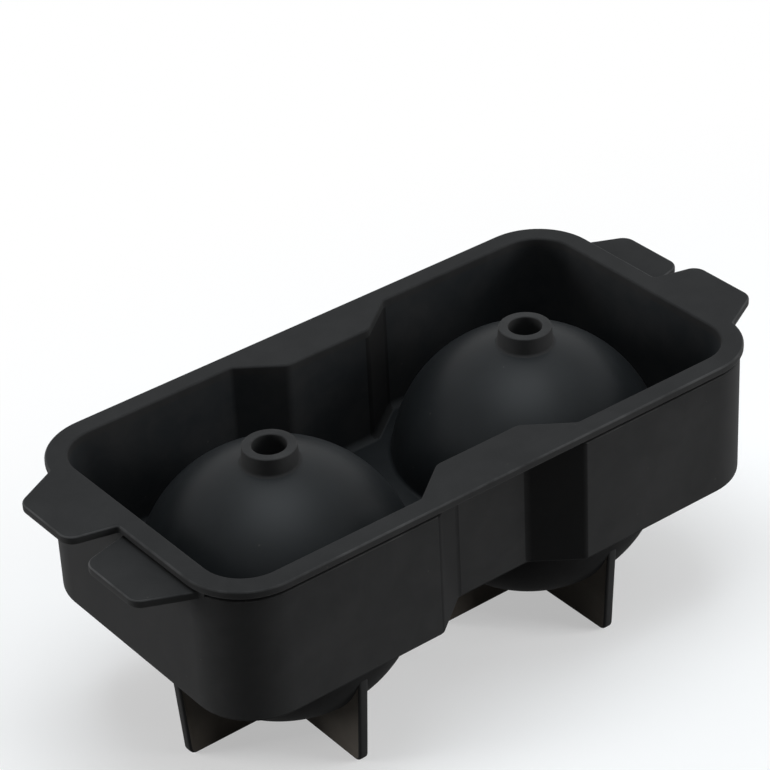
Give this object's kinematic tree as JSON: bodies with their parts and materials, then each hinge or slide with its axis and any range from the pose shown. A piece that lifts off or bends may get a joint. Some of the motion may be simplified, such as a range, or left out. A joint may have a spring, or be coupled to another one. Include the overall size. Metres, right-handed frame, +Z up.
{
  "type": "silicone ice ball mold",
  "caption": "Black silicone ice ball mold: a finned lower tray with cups, and a nesting upper tray with domes, fill necks, a waisted basin and pull tabs at its ends.",
  "frame": {"origin": "on the floor, under the middle of the mold", "axes": "X along the tray through both ball cavities, Y across it, Z up"},
  "size_m": [0.1764, 0.0804, 0.0719],
  "materials": {
    "silicone": "matte"
  },
  "bodies": {
    "lower_half": {"lower_wall": "silicone", "lower_deck": "silicone", "left_cup": "silicone", "right_cup": "silicone", "left_foot": "silicone", "right_foot": "silicone"},
    "upper_half": {"rim_flange": "silicone", "upper_wall": "silicone", "upper_deck": "silicone", "left_dome": "silicone", "right_dome": "silicone", "left_fill_neck": "silicone", "right_fill_neck": "silicone"},
    "lower_left_flap": {"lower_left_tab": "silicone"},
    "lower_right_flap": {"lower_right_tab": "silicone"},
    "upper_left_flap": {"upper_left_tab": "silicone"},
    "upper_right_flap": {"upper_right_tab": "silicone"}
  },
  "joints": [
    {"name": "upper_half_lift", "type": "slide", "parent": "lower_half", "child": "upper_half", "axis": [0, 0, 1], "range_m": [0, 0.05]},
    {"name": "upper_left_bend", "type": "hinge", "parent": "upper_half", "child": "upper_left_flap", "pos_m": [-0.077, 0.01395, 0.069], "axis": [0, 1, 0], "range_deg": [0, 70], "stiffness_Nm_per_rad": 0.015},
    {"name": "upper_right_bend", "type": "hinge", "parent": "upper_half", "child": "upper_right_flap", "pos_m": [0.077, -0.01395, 0.069], "axis": [0, -1, 0], "range_deg": [0, 70], "stiffness_Nm_per_rad": 0.015},
    {"name": "lower_left_bend", "type": "hinge", "parent": "lower_half", "child": "lower_left_flap", "pos_m": [-0.0762, -0.01395, 0.0643], "axis": [0, -1, 0], "range_deg": [0, 70], "stiffness_Nm_per_rad": 0.015},
    {"name": "lower_right_bend", "type": "hinge", "parent": "lower_half", "child": "lower_right_flap", "pos_m": [0.0762, 0.01395, 0.0643], "axis": [0, 1, 0], "range_deg": [0, 70], "stiffness_Nm_per_rad": 0.015}
  ]
}
